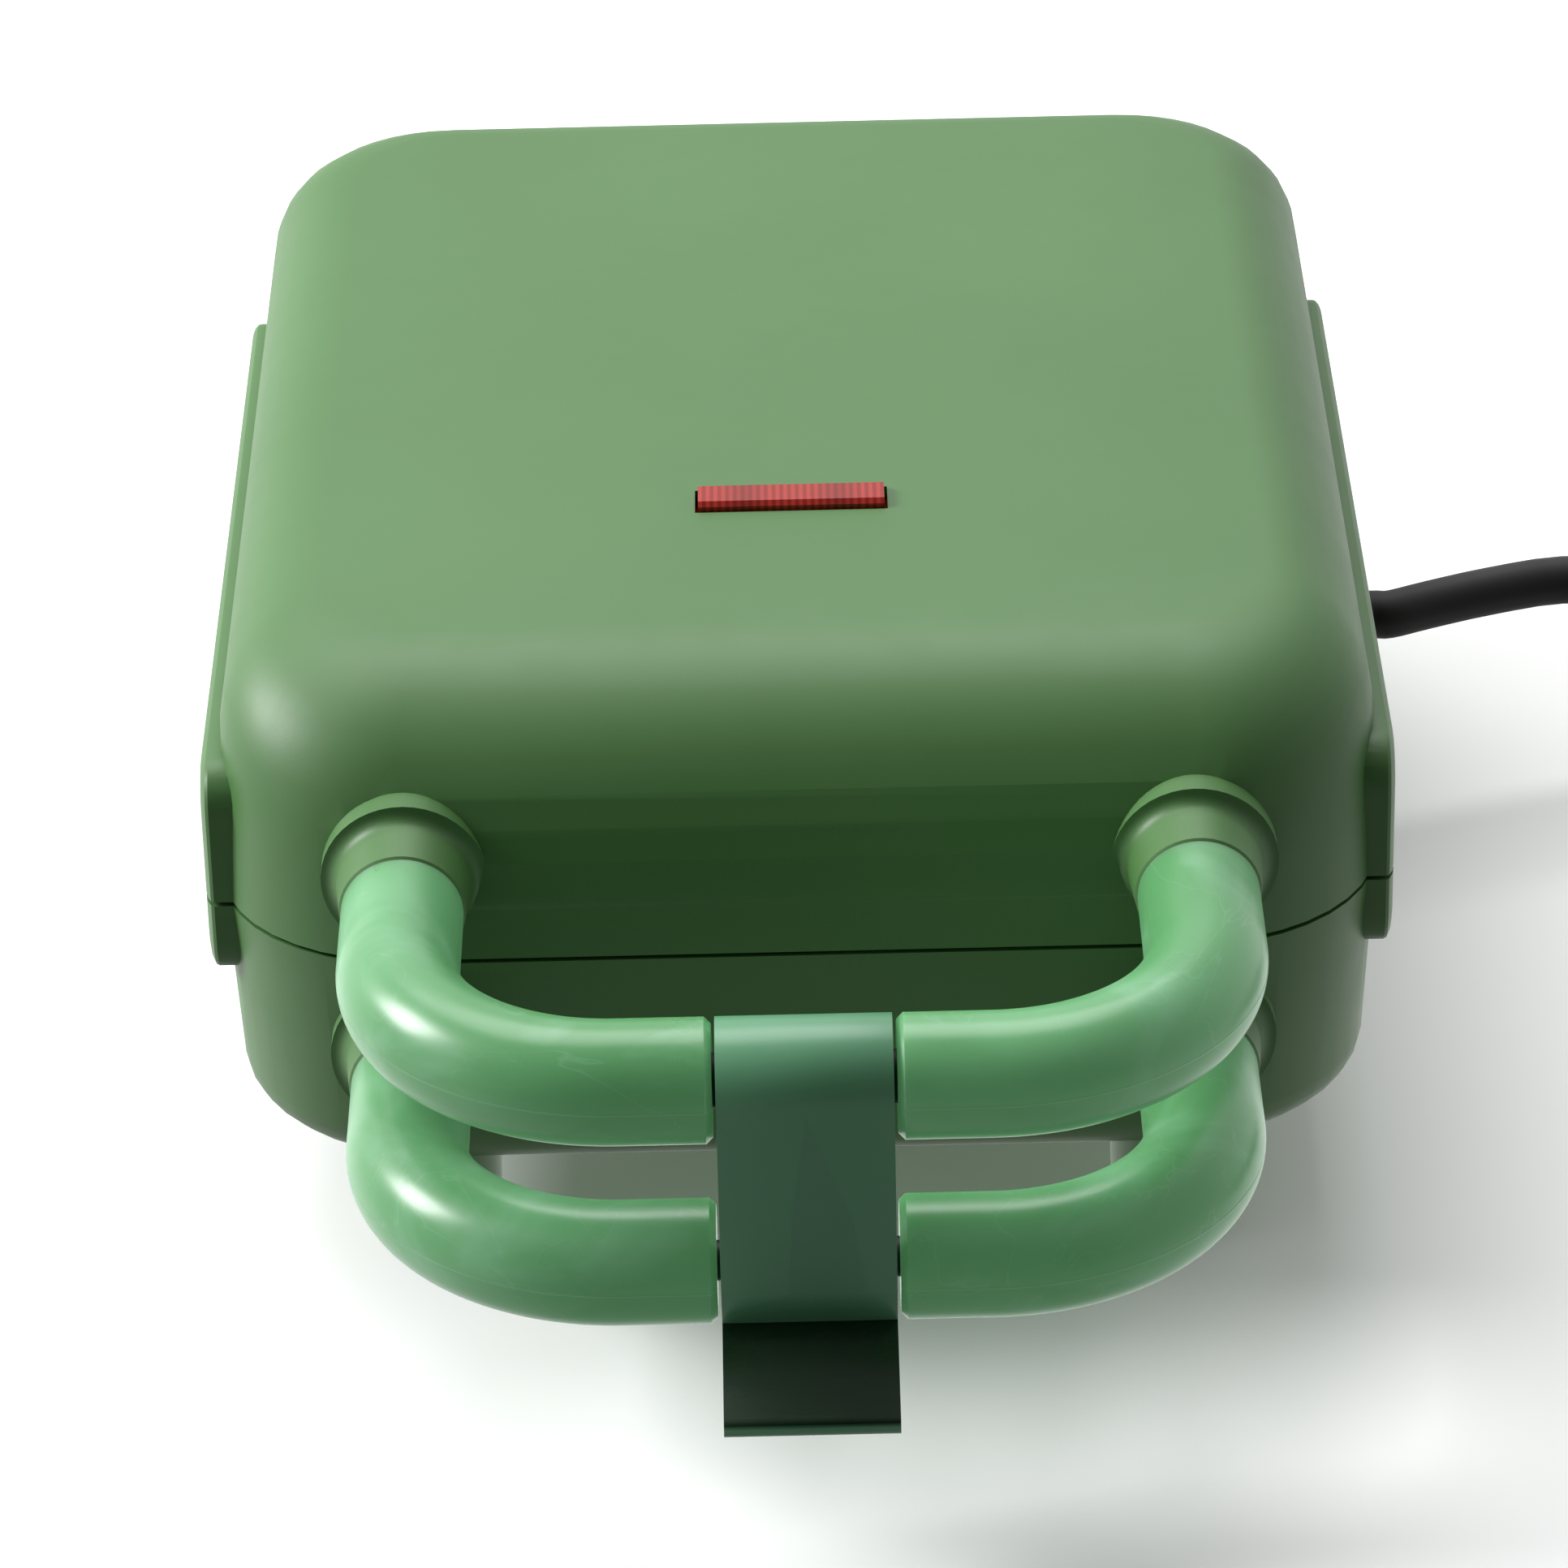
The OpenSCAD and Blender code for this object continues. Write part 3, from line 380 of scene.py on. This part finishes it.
# painted shade: the latch's steel bars are near-black so that the gaps beside the latch read dark
finishes["bar"] = metal_finish("steel_painted_gap_shade", (0.06, 0.06, 0.06), 0.55)
finishes["alloy"] = metal_finish("alloy", (0.78, 0.78, 0.77), 0.35)
finishes["brass"] = metal_finish("brass", (0.78, 0.62, 0.32), 0.25, (900, 40, 40))
print("metals steel, bar, alloy, brass")

# %% [markdown]
# The non-stick coat on the plates is dark with a fine sparkle. Rubber, dull plastic and ceramic
# differ only in colour, gloss and grain, so that one recipe serves them all.

# %% Coats and rubber
COAT_DEPTH = 0.05 * MM


def coat_finish():
    finish = Finish("plate_coat", (0.022, 0.022, 0.024), 0.42, Specular_IOR_Level=0.5)
    fleck = finish.noise(1500, 1).band(0.66, 0.72) * 0.3
    finish.set("Base Color", finish.mix(fleck, (0.020, 0.020, 0.022), (0.12, 0.12, 0.12)))
    finish.set("Roughness", finish.noise(90, 3) * 0.14 + 0.34)
    finish.bump(finish.noise(700, 3), COAT_DEPTH, 0.3)
    return finish.material


def plain_finish(name, colour, roughness, grain=500, depth=COAT_DEPTH, spread=0.15):
    finish = Finish(name, colour, roughness)
    cloud = finish.noise(60, 3)
    dark, light = [[c * (1 + side * spread) for c in colour] for side in (-1, 1)]
    finish.set("Base Color", finish.mix(cloud, dark, light))
    finish.set("Roughness", cloud * 0.12 + roughness - 0.06)
    finish.bump(finish.noise(grain, 2), depth, 0.3)
    return finish.material


finishes["plate"] = coat_finish()
finishes["dark_plastic"] = plain_finish("dark_plastic", (0.025, 0.025, 0.026), 0.55)
finishes["rubber"] = plain_finish("rubber", (0.018, 0.018, 0.018), 0.6)
finishes["ceramic"] = plain_finish("ceramic", (0.72, 0.70, 0.62), 0.35)
finishes["cord"] = plain_finish("cord", (0.005, 0.004, 0.004), 0.62, 1200, 0.03 * MM)
print("coats plate, dark_plastic, rubber, ceramic, cord")

# %% [markdown]
# The CAD record names a material for each of its pieces. Most finishes have that same name. The
# handles take the jade of their own half, because the seam lies at another height on each.

# %% Give each piece its finish
slots = {entry["node"]: entry["material_slot"] for entry in frame["record"]["subparts"]}
for name, node in nodes.items():
    key = slots[name]
    if key == "handle":
        key = name.split("_")[0]
    # the latch's bars take the near-black steel that paints shade in the gaps
    if name in ("latch_bar", "keeper_bar"):
        key = "bar"
    node.data.materials.clear()
    node.data.materials.append(finishes[key])
print("finishes", len(finishes), "on", len(nodes), "pieces")

# %% [markdown]
# The housings and the latch arrive as flat facets with split corners. One modifier joins the
# corners, and the last one smooths every edge under an angle. That gives back the rounded look
# and moves no point. The latch also gets a very small bevel, because the edges of a real strap
# are never knife-sharp and catch a thin line of light.

# %% Smooth the moulded pieces
SMOOTH_UNDER = radians(24)
WELD_REACH = 0.005 * MM
STRAP_BEVEL = 0.4 * MM
BEVEL_OVER = radians(50)


def angle_smoothing(angle):
    """Node group that drops the imported normals and keeps only the edges over the angle sharp."""
    group = bpy.data.node_groups.new("smooth_under_angle", "GeometryNodeTree")
    for way in ("INPUT", "OUTPUT"):
        group.interface.new_socket("Geometry", in_out=way, socket_type="NodeSocketGeometry")
    last = group.nodes.new("NodeGroupInput").outputs[0]
    for attribute in ("custom_normal", "sharp_face", "sharp_edge"):
        remove = group.nodes.new("GeometryNodeRemoveAttribute")
        remove.inputs["Name"].default_value = attribute
        group.links.new(last, remove.inputs[0])
        last = remove.outputs[0]
    edge = group.nodes.new("GeometryNodeInputMeshEdgeAngle")
    under = group.nodes.new("FunctionNodeCompare")
    under.operation = "LESS_THAN"
    under.inputs["B"].default_value = angle
    group.links.new(edge.outputs["Unsigned Angle"], under.inputs["A"])
    smooth = group.nodes.new("GeometryNodeSetShadeSmooth")
    smooth.domain = "EDGE"
    group.links.new(last, smooth.inputs["Geometry"])
    group.links.new(under.outputs[0], smooth.inputs["Shade Smooth"])
    group.links.new(smooth.outputs[0], group.nodes.new("NodeGroupOutput").inputs[0])
    return group


smoothing = angle_smoothing(SMOOTH_UNDER)
for name in ("upper_housing", "lower_housing", "latch"):
    weld = nodes[name].modifiers.new("join_corners", "WELD")
    weld.merge_threshold = WELD_REACH
    if name == "latch":
        bevel = nodes[name].modifiers.new("soft_edges", "BEVEL")
        bevel.width = STRAP_BEVEL
        bevel.segments = 2
        bevel.limit_method = "ANGLE"
        bevel.angle_limit = BEVEL_OVER
    nodes[name].modifiers.new("smooth_edges", "NODES").node_group = smoothing
    print("smoothed", name, "with", len(nodes[name].modifiers), "modifiers")

# %% [markdown]
# A mains cord has one length and bends gently. It leaves the side of the lower housing, arches
# over to the table and lies coiled beyond the edge of the picture. The coil winds inward on the
# table, climbs one cord's thickness and winds outward again on top, and the end runs straight to
# the plug. The route repeats the points of the construction, in millimetres.

# %% Route of the cord
CORD_D = 8.3 * MM
ROUTE = [(109, 71, 38), (120, 75.5, 38), (133, 80, 37.5), (147, 82, 35.5), (161, 82.5, 31),
         (175, 81.5, 25), (188, 79.5, 18.5), (200, 77, 12.5), (211, 74.5, 8), (222, 72.7, 5.4),
         (232, 72, 4.2)]
STUB = (0, 2.5, 5)
STEPS = 3
COIL = Vector((242, 18, 4.2))
COIL_R = 54
COIL_PITCH = 8.9
COIL_TURN = 870
TURN_BACK = 450
CLIMB_FROM = 360
CLIMB_OVER = 180
TURN_STEP = 10
TAIL_RUN = 48


def coil_point(angle):
    radius = COIL_R - COIL_PITCH * (TURN_BACK - abs(angle - TURN_BACK)) / 360
    share = min(max(angle - CLIMB_FROM, 0), CLIMB_OVER) / CLIMB_OVER
    lift = COIL_PITCH * (1 - cos(pi * share)) / 2
    turn = radians(angle)
    return COIL + Vector((radius * sin(turn), radius * cos(turn), lift))


def curve_through(before, start, end, after, w):
    """A point at share w of the smooth curve from start to end, in line with their neighbours."""
    return 0.5 * (2 * start + (end - before) * w
                  + (2 * before - 5 * start + 4 * end - after) * w ** 2
                  + (3 * start - before - 3 * end + after) * w ** 3)


def cord_points(cord_exit):
    """Points of the whole cord: the smoothed free route, the coil's turns and the straight tail."""
    free = [cord_exit / MM + Vector((ahead, 0, 0)) for ahead in STUB] + [Vector(p) for p in ROUTE]
    held = [free[0]] + free + [free[-1]]
    points = [curve_through(*held[i:i + 4], j / STEPS)
              for i in range(len(free) - 1) for j in range(STEPS)]
    points.append(free[-1])
    points += [coil_point(angle) for angle in range(0, COIL_TURN + 1, TURN_STEP)]
    turn = radians(COIL_TURN)
    way = Vector((cos(turn), -sin(turn), 0))
    points += [coil_point(COIL_TURN) + way * TAIL_RUN * share / 4 for share in (1, 2, 3, 4)]
    return [p * MM for p in points]


gland_low, gland_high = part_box("cord_gland")
cord_exit = Vector((gland_high[0], (gland_low[1] + gland_high[1]) / 2,
                    (gland_low[2] + gland_high[2]) / 2))
route = cord_points(cord_exit)
print("route", len(route), "points from", [round(c, 4) for c in cord_exit])

# %% [markdown]
# One curve with a round bevel makes the whole cord, so that its thickness never changes. It
# stands for two solids of the CAD model, the free cord and the coil, and it rides on the lower
# half, where the real cord is clamped.

# %% Mains cord
curve = bpy.data.curves.new("mains_cord", "CURVE")
curve.dimensions = "3D"
curve.bevel_depth = CORD_D / 2
curve.bevel_resolution = 6
curve.use_fill_caps = True
spline = curve.splines.new("POLY")
spline.points.add(len(route) - 1)
for spot, place in zip(spline.points, route):
    spot.co = (*place, 1)
spline.use_smooth = True
mains_cord = bpy.data.objects.new("mains_cord", curve)
scene.collection.objects.link(mains_cord)
mains_cord.data.materials.append(finishes["cord"])
cord_length = sum((b - a).length for a, b in zip(route, route[1:]))
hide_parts("power_cord", "cord_coil")
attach(mains_cord, "base")
print("cord length", round(cord_length, 3))

# %% [markdown]
# The object stands on a white sweep. A floor this pale would throw much light up at the green
# plastic, and the picture shows dark fronts, so the floor is hidden from bounced light and from
# reflections and only catches the shadow.

# %% Floor
FLOOR_SIZE = 8


def floor_finish():
    finish = Finish("floor", (0.88, 0.88, 0.88), 0.9, Emission_Strength=0.05)
    finish.set("Emission Color", (1, 1, 1, 1))
    white = finish.mix(finish.noise(3, 2), (0.93, 0.93, 0.93), (0.95, 0.95, 0.95))
    finish.set("Base Color", white)
    return finish.material


bpy.ops.mesh.primitive_plane_add(size=FLOOR_SIZE, location=(0, 0, 0))
floor = bpy.context.active_object
floor.name = "floor"
floor.data.materials.append(floor_finish())
floor.visible_diffuse = False
floor.visible_glossy = False
print("floor", FLOOR_SIZE, "m wide")

# %% [markdown]
# Two soft lamps light the object. The square one on the left gives the lid its even sheen and
# throws a weak shadow to the right, and the broad one stands high behind the object and lights
# what faces up.


# %% Lamps
def area_lamp(name, place, aim, size, power):
    lamp = bpy.data.lights.new(name, "AREA")
    lamp.shape = "RECTANGLE"
    lamp.size, lamp.size_y = size
    lamp.energy = power
    holder = bpy.data.objects.new(name, lamp)
    scene.collection.objects.link(holder)
    holder.location = place
    holder.rotation_euler = (Vector(aim) - Vector(place)).to_track_quat("-Z", "Y").to_euler()
    print("lamp", name, power, "W at", place)


area_lamp("key", (-1.7, 0.30, 1.1), (0, 0, 0.05), (0.7, 0.7), 46)
area_lamp("top", (-0.2, 0.9, 1.8), (0, 0, 0.05), (1.6, 1.2), 27)

# %% [markdown]
# The world stands for the studio's walls. It is bright on the left, at the back and, less so, on
# the right. The room in front of the object is dark, which is what the steep front faces mirror.
# The light from below is what the white table would send back.

# %% World
world = bpy.data.worlds.new("studio")
scene.world = world
world.use_nodes = True
sky = world.node_tree
background = sky.nodes["Background"]
where = sky.nodes.new("ShaderNodeTexCoord")
split = sky.nodes.new("ShaderNodeSeparateXYZ")
sky.links.new(where.outputs["Generated"], split.inputs[0])
across, back, above = (Value(sky, out) for out in split.outputs)
left = (0.0 - across).band(0.2, 0.8) * 0.8
right = across.band(0.3, 0.9) * 0.55
overhead = above.band(0.55, 0.95) * 0.25
behind = back.band(0.1, 0.8) * 0.9
front = (0.0 - back).band(0.3, 0.8)
below = (0.0 - above).band(0.0, 0.4) * 0.26
glow = (left + right + overhead + behind) * (1.0 - front * 0.9) + below + 0.04
sky.links.new(glow.socket, background.inputs["Strength"])
background.inputs["Color"].default_value = (1, 1, 1, 1)
scene.view_settings.view_transform = "Standard"
print("world", len(sky.nodes), "nodes")
